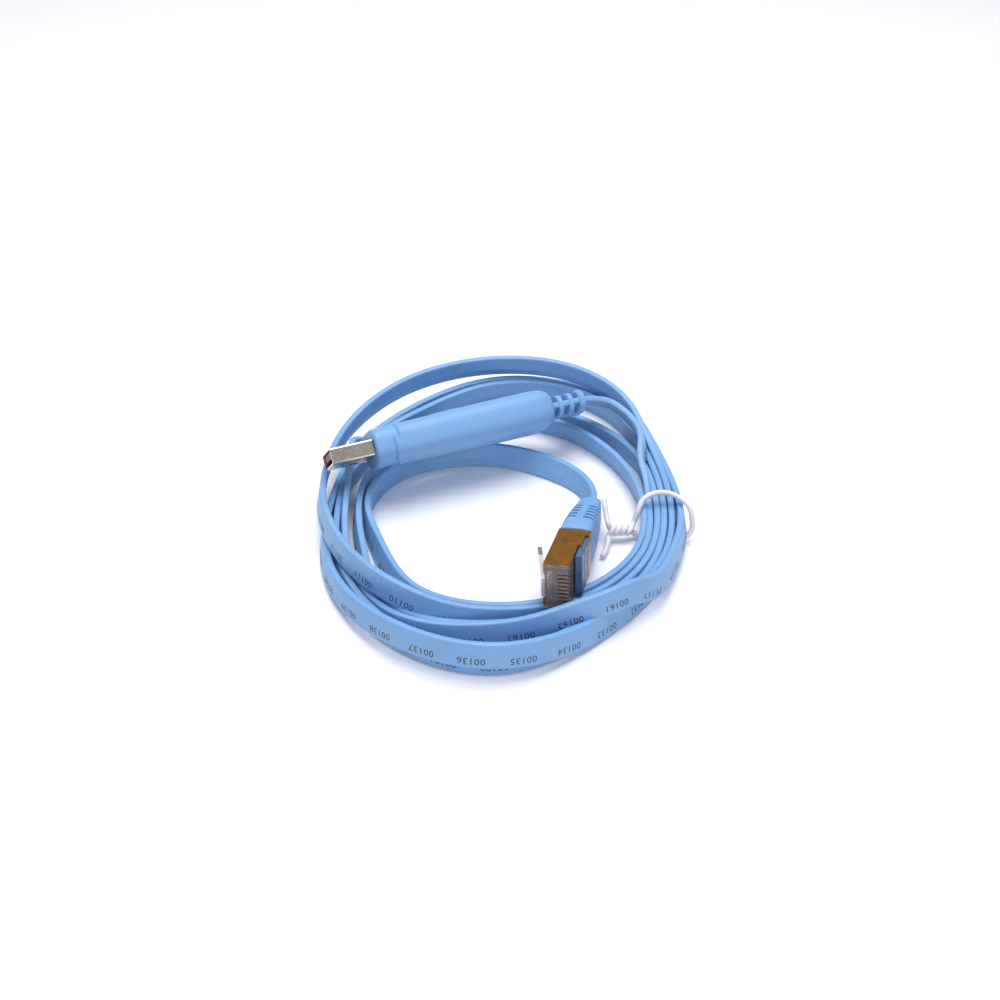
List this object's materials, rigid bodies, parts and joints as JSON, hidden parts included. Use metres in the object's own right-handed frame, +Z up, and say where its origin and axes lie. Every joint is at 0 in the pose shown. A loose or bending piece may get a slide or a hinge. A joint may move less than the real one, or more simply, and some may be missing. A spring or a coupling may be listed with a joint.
{
  "type": "console cable",
  "caption": "Flat light-blue console cable, wound on edge into a tied coil, with a USB-A plug and a shielded modular plug.",
  "frame": {"origin": "middle of the coil at the floor it lies on", "axes": "+Z up from the floor; +X towards the tie; the USB plug's mouth points towards -X"},
  "size_m": [0.1057, 0.1236, 0.0241],
  "materials": {
    "cord_blue": "light blue PVC, semi-matte",
    "grip_blue": "light blue moulded PVC, fine matte grain",
    "usb_plate": "bright plated steel",
    "tongue": "dark red-brown moulded plastic",
    "contact_gold": "gold plated",
    "shield_gold": "gold coloured sheet metal, satin",
    "clear_plastic": "clear polycarbonate, slightly smoky",
    "insert_grey": "blue-grey moulded plastic",
    "tie_white": "white plastic-coated wire",
    "wire_1": "coloured wire insulation",
    "wire_2": "coloured wire insulation",
    "wire_3": "coloured wire insulation",
    "wire_4": "coloured wire insulation",
    "wire_5": "coloured wire insulation",
    "wire_6": "coloured wire insulation",
    "wire_7": "coloured wire insulation",
    "wire_8": "coloured wire insulation"
  },
  "bodies": {
    "root": {"cable_coil": "cord_blue", "cable_top_turn": "cord_blue", "cable_usb_lead": "cord_blue", "cable_rj45_lead": "cord_blue", "twist_tie": "tie_white", "usb_body": "grip_blue", "usb_shell": "usb_plate", "usb_tongue": "tongue", "usb_contact_1": "contact_gold", "usb_contact_2": "contact_gold", "usb_contact_3": "contact_gold", "usb_contact_4": "contact_gold", "rj45_boot": "grip_blue", "rj45_shield": "shield_gold", "rj45_housing": "clear_plastic", "rj45_insert": "insert_grey", "rj45_contact_1": "contact_gold", "rj45_wire_1": "wire_1", "rj45_contact_2": "contact_gold", "rj45_wire_2": "wire_2", "rj45_contact_3": "contact_gold", "rj45_wire_3": "wire_3", "rj45_contact_4": "contact_gold", "rj45_wire_4": "wire_4", "rj45_contact_5": "contact_gold", "rj45_wire_5": "wire_5", "rj45_contact_6": "contact_gold", "rj45_wire_6": "wire_6", "rj45_contact_7": "contact_gold", "rj45_wire_7": "wire_7", "rj45_contact_8": "contact_gold", "rj45_wire_8": "wire_8"}
  },
  "joints": []
}
